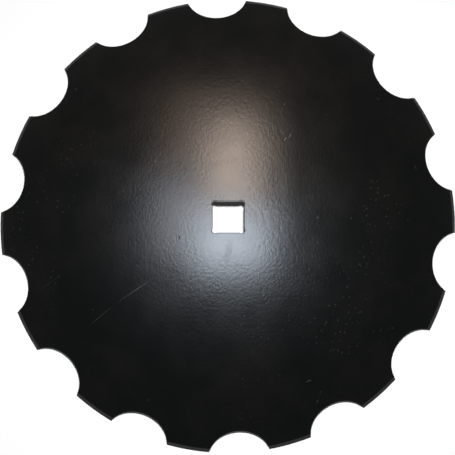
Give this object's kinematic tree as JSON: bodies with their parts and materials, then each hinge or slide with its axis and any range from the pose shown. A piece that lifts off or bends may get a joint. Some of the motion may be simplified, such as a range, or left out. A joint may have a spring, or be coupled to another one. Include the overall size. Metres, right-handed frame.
{
  "type": "harrow disc blade",
  "caption": "Dished harrow disc blade with scallops round a bevelled rim and a square hole for the gang shaft.",
  "frame": {"origin": "on the disc's axis, in the plane that the tips of the teeth stand on", "axes": "+Z along the disc's axis, out of the domed face; X and Y square to the flats of the shaft hole"},
  "size_m": [0.61, 0.608, 0.08],
  "materials": {
    "blade": "satin black"
  },
  "bodies": {
    "root": {"disc_blade": "blade"}
  },
  "joints": []
}
